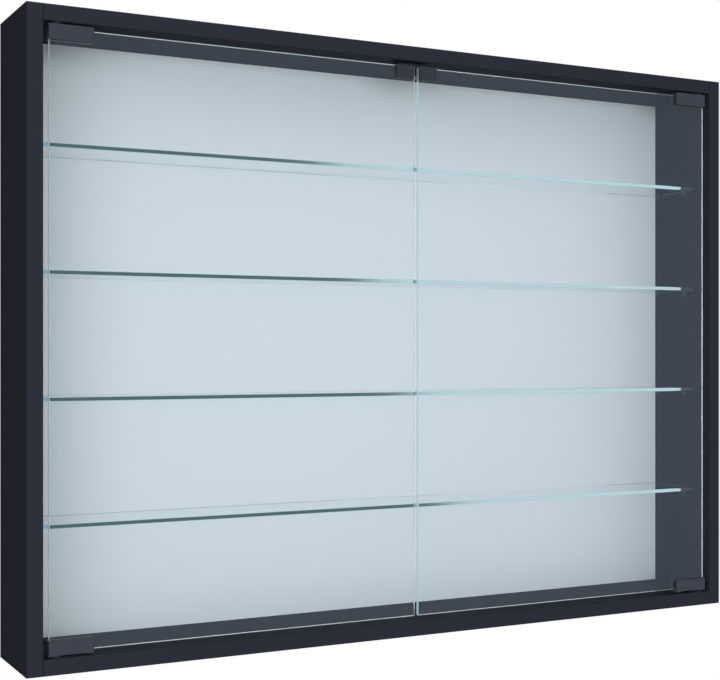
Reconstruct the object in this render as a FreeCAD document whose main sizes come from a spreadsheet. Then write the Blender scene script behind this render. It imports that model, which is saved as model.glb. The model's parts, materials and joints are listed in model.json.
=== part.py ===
"""Wall-hung showcase: a shallow board cabinet with two frameless glass doors and four glass shelves.

The frame: origin at the centre of the rear face, +X to the right seen from the front,
+Y towards the wall and +Z up. All sizes are millimetres.

SIZES holds every size that can be set by itself; each becomes a cell of the spreadsheet.
PLACES names the planes and points worked out from them. Both are used by name in the
expressions that drive sketches, features and placements.
"""

import FreeCAD, Part
import os
import re

import Sketcher

Vector = FreeCAD.Vector
ACROSS = Vector(1, 0, 0)
UPRIGHT = Vector(0, 0, 1)

SIZES = {
    # carcass
    "cabinet_width": 800,
    "cabinet_height": 600,
    "cabinet_depth": 100,
    "board": 15,
    "board_round": 1.2,
    "back_thickness": 3,
    "back_lap": 5,
    "back_play": 0.5,
    # knock-down fittings
    "seat_play": 0.05,
    "dowel_radius": 4,
    "dowel_length": 25,
    "dowel_in_side": 9,
    "dowel_inset": 28,
    "dowel_flutes": 12,
    "dowel_end_room": 0.5,
    "cam_radius": 7.5,
    "cam_height": 12,
    "cam_setback": 24,
    "cam_inset": 62,
    "cam_throat": 5.6,
    "cam_chamber": 7.4,
    "cam_cross_width": 1.4,
    "cam_cross_length": 8,
    "cam_cross_depth": 2,
    "bolt_thread_radius": 2.5,
    "bolt_thread_length": 10,
    "bolt_head_radius": 3.4,
    "bolt_head_length": 2.5,
    "brad_width": 1.2,
    "brad_length": 16,
    "brad_head_width": 2.4,
    "brad_head_height": 0.6,
    "brad_pitch": 140,
    # glass shelves and their supports
    "shelf_count": 4,
    "shelf_thickness": 4,
    "shelf_depth": 70,
    "shelf_rear_gap": 1,
    "shelf_end_gap": 2.5,
    "top_compartment": 105,
    "lowest_extra": 1,
    "glass_bevel": 0.4,
    "support_radius": 2.5,
    "support_in_side": 8,
    "support_hole_depth": 9,
    "support_inset": 12,
    "support_reach": 7,
    "support_head_width": 8,
    "support_head_bevel": 1.5,
    # glass doors
    "door_thickness": 4,
    "door_setback": 4,
    "door_side_gap": 6.2,
    "door_end_gap": 5,
    "door_meeting_gap": 4,
    # pivot clamp hinges
    "hinge_length": 42,
    "hinge_height": 14,
    "hinge_side_gap": 5,
    "hinge_panel_gap": 1.5,
    "hinge_round": 0.8,
    "front_jaw": 2,
    "rear_jaw": 3.5,
    "pad_thickness": 0.5,
    "pad_margin": 1,
    "plate_thickness": 1,
    "foot_length": 7,
    "foot_height": 1,
    "pivot_inset": 8,
    "pivot_offset": 1,
    "pin_radius": 2.5,
    "pin_head_radius": 4,
    "pin_head_height": 1,
    "pin_engagement": 8.5,
    "pin_chamfer": 0.5,
    "run_play": 0.05,
    "bush_radius": 4,
    "bush_depth": 10,
    "flange_radius": 5.5,
    "flange_height": 1.2,
    "clamp_screw_radius": 2,
    "clamp_screw_inset": 10,
    "clamp_screw_socket": 1.2,
    "clamp_screw_socket_depth": 2,
    # strike clips on the doors
    "strike_width": 20,
    "strike_height": 14,
    "strike_sheet": 1,
    "strike_inset": 1.5,
    # double touch latch under the top panel
    "latch_width": 30,
    "latch_height": 12.5,
    "latch_length": 15,
    "latch_gap": 4,
    "latch_bevel": 0.8,
    "plunger_radius": 3.5,
    "plunger_play": 0.1,
    "plunger_spacing": 18,
    "plunger_drop": 7.5,
    "plunger_length": 13,
    "plunger_bore_depth": 13,
    "plunger_wall": 0.9,
    "plunger_nose": 4,
    "strike_gap": 0.3,
    "magnet_radius": 2.5,
    "magnet_thickness": 2,
    "spring_radius": 2.3,
    "spring_wire": 0.5,
    "latch_screw_radius": 1.25,
    "latch_screw_head_radius": 2.4,
    "latch_screw_head_height": 1.6,
    "latch_screw_bite": 11,
    "latch_screw_spacing": 8,
    # keyhole hangers in the rear edges
    "hanger_width": 11,
    "hanger_length": 55,
    "hanger_thickness": 1.5,
    "hanger_round": 2,
    "hanger_play": 0.1,
    "hanger_drop": 20,
    "keyhole_radius": 4,
    "keyhole_slot_radius": 2,
    "keyhole_travel": 12,
    "keyhole_rise": 20,
    "head_pocket_radius": 4.5,
    "head_pocket_depth": 8,
    "hanger_screw_radius": 1.25,
    "hanger_screw_head_radius": 2.5,
    "hanger_screw_length": 16,
    "hanger_screw_inset": 6,
}

PLACES = {
    # carcass planes, as distances from the middle of the cabinet
    "half_width": "cabinet_width / 2",
    "half_height": "cabinet_height / 2",
    "inner_x": "half_width - board",
    "inner_z": "half_height - board",
    "front": "-cabinet_depth",
    "rebate_x": "inner_x + back_lap",
    "rebate_z": "inner_z + back_lap",
    "back_front": "-back_thickness",
    "deck_middle": "inner_z + board / 2",
    # fittings
    "dowel_y": "-dowel_inset",
    "dowel_in_deck": "dowel_length - dowel_in_side",
    "cam_x": "inner_x - cam_setback",
    "cam_y": "-cam_inset",
    "brad_x": "inner_x + back_lap / 2",
    "brad_z": "inner_z + back_lap / 2",
    # shelves
    "shelf_pitch": "(2 * inner_z - top_compartment - lowest_extra) / shelf_count",
    "shelf_rear": "back_front - shelf_rear_gap",
    "shelf_front": "shelf_rear - shelf_depth",
    "shelf_end": "inner_x - shelf_end_gap",
    "lowest_top": "lowest_extra + shelf_pitch - inner_z",
    "lowest_under": "lowest_top - shelf_thickness",
    "support_z": "lowest_under - support_radius",
    "support_front_y": "shelf_front + support_inset",
    "support_rear_y": "shelf_rear - support_inset",
    # doors
    "glass_front": "front + door_setback",
    "glass_rear": "glass_front + door_thickness",
    "door_outer_x": "inner_x - door_side_gap",
    "door_inner_x": "door_meeting_gap / 2",
    "door_top": "inner_z - door_end_gap",
    # hinges
    "hinge_outer_x": "inner_x - hinge_side_gap",
    "hinge_inner_x": "hinge_outer_x - hinge_length",
    "hinge_top": "inner_z - hinge_panel_gap",
    "hinge_low": "hinge_top - hinge_height",
    "hinge_front": "glass_front - pad_thickness - front_jaw",
    "hinge_rear": "glass_rear + plate_thickness + rear_jaw",
    "pivot_x": "hinge_outer_x - pivot_inset",
    "pivot_y": "glass_front + door_thickness / 2 + pivot_offset",
    "pin_top": "inner_z + pin_engagement",
    "clamp_screw_z": "(hinge_low + door_top) / 2",
    # strike clips and latch
    "strike_inner_x": "door_inner_x + strike_inset",
    "strike_outer_x": "strike_inner_x + strike_width",
    "strike_top": "door_top + strike_sheet",
    "latch_front": "glass_rear + latch_gap",
    "latch_rear": "latch_front + latch_length",
    "latch_under": "inner_z - latch_height",
    "plunger_x": "plunger_spacing / 2",
    "plunger_z": "inner_z - plunger_drop",
    "plunger_tip": "glass_rear + strike_sheet + strike_gap",
    "plunger_end": "plunger_tip + plunger_length",
    "plunger_floor": "latch_front + plunger_bore_depth",
    "latch_screw_y": "(latch_front + latch_rear) / 2",
    # hangers
    "hanger_x": "half_width - board / 2",
    "hanger_top": "half_height - hanger_drop",
    "hanger_under": "hanger_top - hanger_length",
    "keyhole_z": "hanger_under + keyhole_rise",
}

doc = FreeCAD.newDocument("wall_showcase")
sheet = doc.addObject("Spreadsheet::Sheet", "dims")
for row, (alias, number) in enumerate(SIZES.items(), 1):
    sheet.set(f"A{row}", alias)
    sheet.set(f"B{row}", str(number))
    sheet.setAlias(f"B{row}", alias)
doc.recompute()

parts = []


def bind(text):
    """The expression that FreeCAD reads: each size becomes its cell, each place its own formula."""

    def swap(match):
        word = match.group()
        if word in PLACES:
            return f"({bind(PLACES[word])})"
        return f"dims.{word}" if word in SIZES else word

    return re.sub(r"[a-z][a-z_]*", swap, text)


def value(text):
    """The present value of a formula in sizes and places."""
    return float(sheet.evalExpression(bind(text)))


def keep(part, label):
    """Names a finished sub-part and puts it on the list of those that are written."""
    part.Label = label
    parts.append(part)
    return part


# ---------------------------------------------------------------- sketches


def origin_feature(body, role):
    """One of the body's own origin planes or axes."""
    return next(f for f in body.Origin.OriginFeatures if f.Role == role)


def new_sketch(body, name, plane, offset):
    """A sketch on an origin plane of its body, moved along the plane's normal by a formula."""
    sketch = body.newObject("Sketcher::SketchObject", f"{body.Name}_{name}")
    sketch.AttachmentSupport = [(origin_feature(body, f"{plane}_Plane"), "")]
    sketch.MapMode = "FlatFace"
    sketch.setExpression("AttachmentOffset.Base.z", bind(offset))
    return sketch


def hold(sketch, geometry, point, across, up):
    """Holds a point of the sketch at two formulas, measured from the sketch's origin."""
    for kind, text in (("DistanceX", across), ("DistanceY", up)):
        place = Sketcher.Constraint(kind, -1, 1, geometry, point, value(text))
        sketch.setExpression(f"Constraints[{sketch.addConstraint(place)}]", bind(text))


def rectangle(left, low, right, high):
    """Draws a rectangle: four lines kept level and upright, with two corners held."""

    def draw(sketch):
        a, b, c, d = value(left), value(low), value(right), value(high)
        corners = [Vector(a, b, 0), Vector(c, b, 0), Vector(c, d, 0), Vector(a, d, 0)]
        first = sketch.GeometryCount
        for k in range(4):
            sketch.addGeometry(Part.LineSegment(corners[k], corners[(k + 1) % 4]), False)
        for k in range(4):
            sketch.addConstraint(Sketcher.Constraint("Coincident", first + k, 2, first + (k + 1) % 4, 1))
        for k, kind in enumerate(("Horizontal", "Vertical", "Horizontal", "Vertical")):
            sketch.addConstraint(Sketcher.Constraint(kind, first + k))
        hold(sketch, first, 1, left, low)
        hold(sketch, first + 2, 1, right, high)

    return draw


def polygon(*points):
    """Draws a closed outline through points given as pairs of formulas."""

    def draw(sketch):
        corners = [Vector(value(x), value(y), 0) for x, y in points]
        first, count = sketch.GeometryCount, len(points)
        for k in range(count):
            sketch.addGeometry(Part.LineSegment(corners[k], corners[(k + 1) % count]), False)
        for k in range(count):
            sketch.addConstraint(Sketcher.Constraint("Coincident", first + k, 2, first + (k + 1) % count, 1))
        for k, (x, y) in enumerate(points):
            hold(sketch, first + k, 1, x, y)

    return draw


def circle(across, up, radius):
    """Draws a circle with its centre and radius held."""

    def draw(sketch):
        centre = Vector(value(across), value(up), 0)
        index = sketch.addGeometry(Part.Circle(centre, Vector(0, 0, 1), value(radius)), False)
        hold(sketch, index, 3, across, up)
        size = sketch.addConstraint(Sketcher.Constraint("Radius", index, value(radius)))
        sketch.setExpression(f"Constraints[{size}]", bind(radius))

    return draw


def regular(across, up, radius, count):
    """Draws a polygon of equal sides whose corners lie on a circle."""
    corners = []
    for k in range(count):
        turn = 360 * k / count
        corners.append((f"{across} + ({radius}) * cos({turn})", f"{up} + ({radius}) * sin({turn})"))
    return polygon(*corners)


# ---------------------------------------------------------------- features


def feature(body, kind, name, sketch, length, flip):
    """A pad or pocket of a sketch, with its length bound to a formula."""
    made = body.newObject(f"PartDesign::{kind}", f"{body.Name}_{name}")
    made.Profile = sketch
    made.setExpression("Length", bind(length))
    made.Reversed = flip
    doc.recompute()
    return made


def pad(body, name, plane, offset, shapes, length, flip=False):
    """Pads shapes along the plane's normal: +Z for XY, -Y for XZ and +X for YZ, or back when flipped."""
    sketch = new_sketch(body, f"{name}_sketch", plane, offset)
    for draw in shapes:
        draw(sketch)
    return feature(body, "Pad", name, sketch, length, flip)


def pocket(body, name, plane, offset, shapes, length, flip=False):
    """Cuts shapes against the plane's normal, or along it when flipped, and tests that it cut."""
    before = body.Shape.Volume
    sketch = new_sketch(body, f"{name}_sketch", plane, offset)
    for draw in shapes:
        draw(sketch)
    made = feature(body, "Pocket", name, sketch, length, flip)
    if not body.Shape.Volume < before:
        raise ValueError(f"{made.Name} removes nothing")
    return made


def revolve(body, name, plane, offset, draw, axis):
    """A full turn of a profile about an axis of its own sketch."""
    sketch = new_sketch(body, f"{name}_sketch", plane, offset)
    draw(sketch)
    made = body.newObject("PartDesign::Revolution", f"{body.Name}_{name}")
    made.Profile = sketch
    made.ReferenceAxis = (sketch, [axis])
    made.Angle = 360
    doc.recompute()
    return made


def edges_where(shape, test):
    """Names of the edges whose middle passes the test."""
    return [f"Edge{k}" for k, edge in enumerate(shape.Edges, 1) if test(edge.CenterOfMass, edge)]


def dress(body, kind, name, base, test, size):
    """A fillet or chamfer of one size on the edges of a feature that pass the test."""
    made = body.newObject(f"PartDesign::{kind}", f"{body.Name}_{name}")
    made.Base = (base, edges_where(base.Shape, test))
    made.setExpression("Radius" if kind == "Fillet" else "Size", bind(size))
    doc.recompute()
    return made


def mirror_features(body, name, originals, plane):
    """The same features on the other side of an origin plane."""
    made = body.newObject("PartDesign::Mirrored", f"{body.Name}_{name}")
    made.Originals = originals
    made.MirrorPlane = (origin_feature(body, f"{plane}_Plane"), [""])
    body.Tip = made
    doc.recompute()
    return made


def repeat_features(body, name, originals, axis, length, count):
    """A row of the same features, evenly spread over a length along an axis."""
    made = body.newObject("PartDesign::LinearPattern", f"{body.Name}_{name}")
    made.Originals = originals
    made.Direction = (origin_feature(body, f"{axis}_Axis"), [""])
    made.setExpression("Length", bind(length))
    made.setExpression("Occurrences", bind(count))
    body.Tip = made
    doc.recompute()
    return made


def new_body(name):
    """An empty body in the document."""
    return doc.addObject("PartDesign::Body", name)


def mirror_part(source, label, normal):
    """The same piece on the other side of the cabinet's middle plane."""
    copy = doc.addObject("Part::Mirroring", label)
    copy.Source = source
    copy.Base = Vector(0, 0, 0)
    copy.Normal = normal
    return copy


def copy_at(source, name, x="0", y="0", z="0"):
    """A linked copy of a piece, moved by three formulas."""
    link = doc.addObject("App::Link", name)
    link.LinkedObject = source
    for letter, text in (("x", x), ("y", y), ("z", z)):
        link.setExpression(f"Placement.Base.{letter}", bind(text))
    return link


def group(label, pieces):
    """Identical loose pieces in one node, each still a solid of its own."""
    compound = doc.addObject("Part::Compound", label)
    compound.Links = pieces
    doc.recompute()
    return keep(compound, label)


def four_corners(source, label):
    """Copies of a top left piece to the four corners of the cabinet, as one node."""
    right = mirror_part(source, f"{label}_right", ACROSS)
    low = mirror_part(source, f"{label}_low", UPRIGHT)
    low_right = mirror_part(right, f"{label}_low_right", UPRIGHT)
    return group(label, [source, right, low, low_right])


# ---------------------------------------------------------------- carcass


def on_front(point, edge):
    """True for an edge that lies in the front plane of the cabinet."""
    return abs(point.y - value("front")) < 0.001


def side_panels():
    """Full-height sides: rebated for the back, drilled for supports, dowels, bolts and hangers."""
    body = new_body("side_panel_left")
    slab = pad(body, "board", "XY", "-half_height",
               [rectangle("-half_width", "front", "-inner_x", "0")], "cabinet_height")
    dress(body, "Fillet", "front_edges", slab, on_front, "board_round")
    pocket(body, "back_rebate", "XY", "rebate_z",
           [rectangle("-rebate_x", "back_front", "-inner_x", "0")], "2 * rebate_z")
    holes = pocket(body, "support_holes", "YZ", "-inner_x",
                   [circle(y, "support_z", "support_radius + seat_play")
                    for y in ("support_front_y", "support_rear_y")], "support_hole_depth")
    repeat_features(body, "support_rows", [holes], "Z", "(shelf_count - 1) * shelf_pitch", "shelf_count")
    dowels = pocket(body, "dowel_holes", "YZ", "-inner_x",
                    [circle("dowel_y", "deck_middle", "dowel_radius + seat_play")],
                    "dowel_in_side + dowel_end_room")
    bolts = pocket(body, "bolt_holes", "YZ", "-inner_x",
                   [circle("cam_y", "deck_middle", "bolt_thread_radius + seat_play")], "bolt_thread_length")
    mirror_features(body, "low_joint", [dowels, bolts], "XY")
    reach = "(hanger_width / 2 + hanger_play)"
    pocket(body, "hanger_recess", "XZ", "0",
           [rectangle(f"-hanger_x - {reach}", "hanger_under - hanger_play",
                      f"-hanger_x + {reach}", "hanger_top + hanger_play")], "hanger_thickness", flip=True)
    pocket(body, "screw_head_room", "XZ", "0",
           [rectangle("-hanger_x - head_pocket_radius", "keyhole_z - head_pocket_radius",
                      "-hanger_x + head_pocket_radius", "keyhole_z + keyhole_travel + head_pocket_radius")],
           "head_pocket_depth", flip=True)
    keep(body, "left_side_panel")
    keep(mirror_part(body, "side_panel_right", ACROSS), "right_side_panel")


def decks():
    """Top and bottom panels between the sides, bored for cams, bolts, dowels and hinge bushes."""
    body = new_body("deck_top")
    slab = pad(body, "board", "XY", "inner_z", [rectangle("-inner_x", "front", "inner_x", "0")], "board")
    dress(body, "Fillet", "front_edges", slab, on_front, "board_round")
    pocket(body, "back_rebate", "XY", "rebate_z",
           [rectangle("-inner_x", "back_front", "inner_x", "0")], "back_lap")
    pocket(body, "bush_seats", "XY", "inner_z",
           [circle(x, "pivot_y", "bush_radius + seat_play") for x in ("-pivot_x", "pivot_x")],
           "bush_depth + seat_play", flip=True)
    dowels = pocket(body, "dowel_holes", "YZ", "inner_x",
                    [circle("dowel_y", "deck_middle", "dowel_radius + seat_play")],
                    "dowel_in_deck + dowel_end_room")
    bolt = pocket(body, "bolt_bore", "YZ", "inner_x",
                  [circle("cam_y", "deck_middle", "bolt_head_radius + seat_play")], "cam_setback")
    cam = pocket(body, "cam_seat", "XY", "half_height",
                 [circle("cam_x", "cam_y", "cam_radius + seat_play")], "cam_height")
    mirror_features(body, "other_end", [dowels, bolt, cam], "YZ")
    keep(body, "top_panel")
    keep(mirror_part(body, "deck_bottom", UPRIGHT), "bottom_panel")


def back():
    """Thin back panel laid in the rebates, notched round the two hangers, and its flat-headed nails."""
    body = new_body("back_board")
    pad(body, "sheet", "XZ", "0",
        [rectangle("-rebate_x + back_play", "-rebate_z + back_play",
                   "rebate_x - back_play", "rebate_z - back_play")], "back_thickness")
    notch = pocket(body, "hanger_notch", "XZ", "0",
                   [rectangle("-rebate_x + back_play", "hanger_under - back_play",
                              "-hanger_x + hanger_width / 2 + back_play", "hanger_top + back_play")],
                   "back_thickness", flip=True)
    mirror_features(body, "other_notch", [notch], "YZ")
    keep(body, "back_panel")

    brad = new_body("brad")
    half = "brad_width / 2"
    pad(brad, "profile", "XY", f"-{half}",
        [polygon(("-brad_head_width / 2", "0"), ("-brad_head_width / 2", "-brad_head_height"),
                 (f"-{half}", "-brad_head_height"), (f"-{half}", "-brad_length"),
                 (half, "-brad_length"), (half, "-brad_head_height"),
                 ("brad_head_width / 2", "-brad_head_height"), ("brad_head_width / 2", "0"))], "brad_width")
    pieces = []
    across = int(value("2 * inner_x / brad_pitch"))
    upright = int(value("2 * inner_z / brad_pitch"))
    for row in range(across + 1):
        x = f"({row} - {across} / 2) * brad_pitch"
        for end in ("brad_z", "-brad_z"):
            pieces.append(copy_at(brad, f"deck_brad_{len(pieces)}", x=x, z=end))
    for row in range(upright):
        z = f"({row} - {upright - 1} / 2) * brad_pitch"
        for end in ("brad_x", "-brad_x"):
            pieces.append(copy_at(brad, f"side_brad_{len(pieces)}", x=end, z=z))
    group("back_panel_nails", pieces)


def knock_down_fittings():
    """Dowels, cam bolts and cams that pull the sides onto the decks at each corner."""
    dowel = new_body("dowel")
    pad(dowel, "slug", "YZ", "-inner_x - dowel_in_side",
        [regular("dowel_y", "deck_middle", "dowel_radius", int(value("dowel_flutes")))], "dowel_length")
    four_corners(dowel, "wood_dowels")

    bolt = new_body("cam_bolt")
    head = "-inner_x + cam_setback - bolt_head_length"
    pad(bolt, "rod", "YZ", "-inner_x - bolt_thread_length",
        [circle("cam_y", "deck_middle", "bolt_thread_radius")], "bolt_thread_length + cam_setback")
    pad(bolt, "head", "YZ", head, [circle("cam_y", "deck_middle", "bolt_head_radius")], "bolt_head_length")
    four_corners(bolt, "cam_bolts")

    cam = new_body("cam")
    pad(cam, "drum", "XY", "half_height - cam_height",
         [circle("-cam_x", "cam_y", "cam_radius")], "cam_height")
    chamber = "cam_chamber / 2"
    pocket(cam, "chamber", "XZ", f"-cam_y + {chamber}",
           [rectangle(f"-cam_x - {chamber}", f"deck_middle - {chamber}",
                      f"-cam_x + {chamber}", f"deck_middle + {chamber}")], "cam_chamber")
    pocket(cam, "throat", "YZ", "-cam_x",
           [rectangle("cam_y - cam_throat / 2", f"deck_middle - {chamber}",
                      "cam_y + cam_throat / 2", f"deck_middle + {chamber}")], "cam_radius + seat_play")
    half, width = "cam_cross_length / 2", "cam_cross_width / 2"
    pocket(cam, "cross", "XY", "half_height",
           [polygon((f"-cam_x - {half}", f"cam_y - {width}"), (f"-cam_x - {width}", f"cam_y - {width}"),
                    (f"-cam_x - {width}", f"cam_y - {half}"), (f"-cam_x + {width}", f"cam_y - {half}"),
                    (f"-cam_x + {width}", f"cam_y - {width}"), (f"-cam_x + {half}", f"cam_y - {width}"),
                    (f"-cam_x + {half}", f"cam_y + {width}"), (f"-cam_x + {width}", f"cam_y + {width}"),
                    (f"-cam_x + {width}", f"cam_y + {half}"), (f"-cam_x - {width}", f"cam_y + {half}"),
                    (f"-cam_x - {width}", f"cam_y + {width}"), (f"-cam_x - {half}", f"cam_y + {width}"))],
           "cam_cross_depth")
    four_corners(cam, "cam_locks")


# ---------------------------------------------------------------- shelves


def shelves():
    """Glass shelves with ground edges, each on four clear supports in blind holes."""
    glass = new_body("shelf_glass")
    slab = pad(glass, "sheet", "XY", "lowest_under",
               [rectangle("-shelf_end", "shelf_front", "shelf_end", "shelf_rear")], "shelf_thickness")
    dress(glass, "Chamfer", "ground_edges", slab, lambda point, edge: True, "glass_bevel")

    support = new_body("support")
    head = pad(support, "head", "YZ", "-inner_x",
               [rectangle("-support_head_width / 2", "lowest_under - 2 * support_radius",
                          "support_head_width / 2", "lowest_under")], "support_reach")
    low = value("lowest_under - 2 * support_radius")
    dress(support, "Chamfer", "underside", head,
          lambda point, edge: abs(point.z - low) < 0.001 and abs(point.y) > 0.001, "support_head_bevel")
    pad(support, "shank", "YZ", "-inner_x",
        [circle("0", "support_z", "support_radius")], "support_in_side", flip=True)
    opposite = mirror_part(support, "support_right", ACROSS)
    for row in range(int(value("shelf_count"))):
        rise = f"{row} * shelf_pitch"
        keep(copy_at(glass, f"shelf_{row + 1}", z=rise), f"glass_shelf_{row + 1}")
        pieces = []
        for side in ("support_front_y", "support_rear_y"):
            for hand in (support, opposite):
                pieces.append(copy_at(hand, f"{hand.Name}_{row}_{side}", y=side, z=rise))
        group(f"shelf_{row + 1}_supports", pieces)


# ---------------------------------------------------------------- doors and hinges

CLAMP_SCREWS = ("-hinge_outer_x + clamp_screw_inset", "-hinge_inner_x - clamp_screw_inset")


def hinge_clamp(end):
    """A cast clamp that straddles the glass edge: thin front jaw, web with the pin seat, thick rear jaw."""
    body = new_body(f"clamp_{end}")
    block = pad(body, "block", "XY", "hinge_low",
                [rectangle("-hinge_outer_x", "hinge_front", "-hinge_inner_x", "hinge_rear")], "hinge_height")
    face = value("hinge_front")
    dress(body, "Fillet", "face_edges", block, lambda point, edge: abs(point.y - face) < 0.001, "hinge_round")
    pocket(body, "glass_slot", "XY", "door_top",
           [rectangle("-hinge_outer_x", "hinge_front + front_jaw",
                      "-hinge_inner_x", "hinge_rear - rear_jaw")], "hinge_height")
    pocket(body, "pin_head_seat", "XY", "door_top",
           [circle("-pivot_x", "pivot_y", "pin_head_radius + seat_play")], "pin_head_height", flip=True)
    pocket(body, "pin_bore", "XY", "door_top",
           [circle("-pivot_x", "pivot_y", "pin_radius + seat_play")], "hinge_height", flip=True)
    pocket(body, "screw_holes", "XZ", "-hinge_rear",
           [circle(x, "clamp_screw_z", "clamp_screw_radius + seat_play") for x in CLAMP_SCREWS],
           "rear_jaw", flip=True)
    if end == "low":
        pocket(body, "between_feet", "XY", "hinge_top",
               [rectangle("-hinge_outer_x + foot_length", "hinge_front",
                          "-hinge_inner_x - foot_length", "hinge_rear")], "foot_height")
    return body


def hinge_pieces():
    """What each hinge holds beside its clamp: front pad, rear pressure plate, screws and pivot pin."""
    pieces = {}
    inset = rectangle("-hinge_outer_x + pad_margin", "hinge_low + pad_margin",
                      "-hinge_inner_x - pad_margin", "door_top")
    pieces["pad"] = new_body("hinge_pad")
    pad(pieces["pad"], "sheet", "XZ", "-glass_front", [inset], "pad_thickness")
    pieces["pressure_plate"] = new_body("pressure_plate")
    pad(pieces["pressure_plate"], "sheet", "XZ", "-glass_rear", [inset], "plate_thickness", flip=True)

    screws = []
    for k, x in enumerate(CLAMP_SCREWS):
        screw = new_body(f"clamp_screw_{k}")
        pad(screw, "shank", "XZ", "-hinge_rear",
            [circle(x, "clamp_screw_z", "clamp_screw_radius")], "rear_jaw")
        pocket(screw, "socket", "XZ", "-hinge_rear",
               [regular(x, "clamp_screw_z", "clamp_screw_socket", 6)], "clamp_screw_socket_depth", flip=True)
        screws.append(screw)
    pieces["screws"] = doc.addObject("Part::Compound", "clamp_screws")
    pieces["screws"].Links = screws

    pin = new_body("pivot_pin")
    pad(pin, "head", "XY", "door_top", [circle("-pivot_x", "pivot_y", "pin_head_radius")], "pin_head_height")
    shank = pad(pin, "shank", "XY", "door_top",
                [circle("-pivot_x", "pivot_y", "pin_radius")], "pin_top - door_top")
    end = value("pin_top")
    dress(pin, "Chamfer", "lead_in", shank, lambda point, edge: abs(point.z - end) < 0.001, "pin_chamfer")
    pieces["pin"] = pin
    return pieces


def hinge_bush():
    """A flanged bush pressed into the deck, open at its far end, in which the pin turns."""
    bush = new_body("bush")
    pad(bush, "flange", "XY", "inner_z", [circle("-pivot_x", "pivot_y", "flange_radius")],
        "flange_height", flip=True)
    pad(bush, "barrel", "XY", "inner_z", [circle("-pivot_x", "pivot_y", "bush_radius")], "bush_depth")
    pocket(bush, "bore", "XY", "inner_z + bush_depth",
           [circle("-pivot_x", "pivot_y", "pin_radius + run_play")], "bush_depth + flange_height")
    return bush


def strike_clip():
    """A bent steel clip pushed over the glass, the part that the latch magnet holds."""
    clip = new_body("strike")
    pad(clip, "profile", "YZ", "-strike_outer_x",
        [polygon(("glass_front - strike_sheet", "strike_top - strike_height"),
                 ("glass_front", "strike_top - strike_height"), ("glass_front", "door_top"),
                 ("glass_rear", "door_top"), ("glass_rear", "strike_top - strike_height"),
                 ("glass_rear + strike_sheet", "strike_top - strike_height"),
                 ("glass_rear + strike_sheet", "strike_top"), ("glass_front - strike_sheet", "strike_top"))],
        "strike_width")
    return clip


def doors():
    """Two glass leaves, each hung by a clamp at its top and one at its foot."""
    glass = new_body("door_glass")
    slab = pad(glass, "sheet", "XZ", "-glass_rear",
               [rectangle("-door_outer_x", "-door_top", "-door_inner_x", "door_top")], "door_thickness")
    dress(glass, "Chamfer", "ground_edges", slab, lambda point, edge: True, "glass_bevel")
    keep(glass, "left_door_glass")
    keep(mirror_part(glass, "door_glass_right", ACROSS), "right_door_glass")

    clip = strike_clip()
    keep(clip, "left_strike_clip")
    keep(mirror_part(clip, "strike_right", ACROSS), "right_strike_clip")

    shared = hinge_pieces()
    shared["bush"] = hinge_bush()
    for end, word in (("high", "top"), ("low", "bottom")):
        for name, piece in {"clamp": hinge_clamp(end), **shared}.items():
            left = piece if end == "high" else mirror_part(piece, f"{name}_low", UPRIGHT)
            keep(left, f"left_{word}_hinge_{name}")
            keep(mirror_part(left, f"{name}_{word}_right", ACROSS), f"right_{word}_hinge_{name}")


# ---------------------------------------------------------------- touch latch


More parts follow.
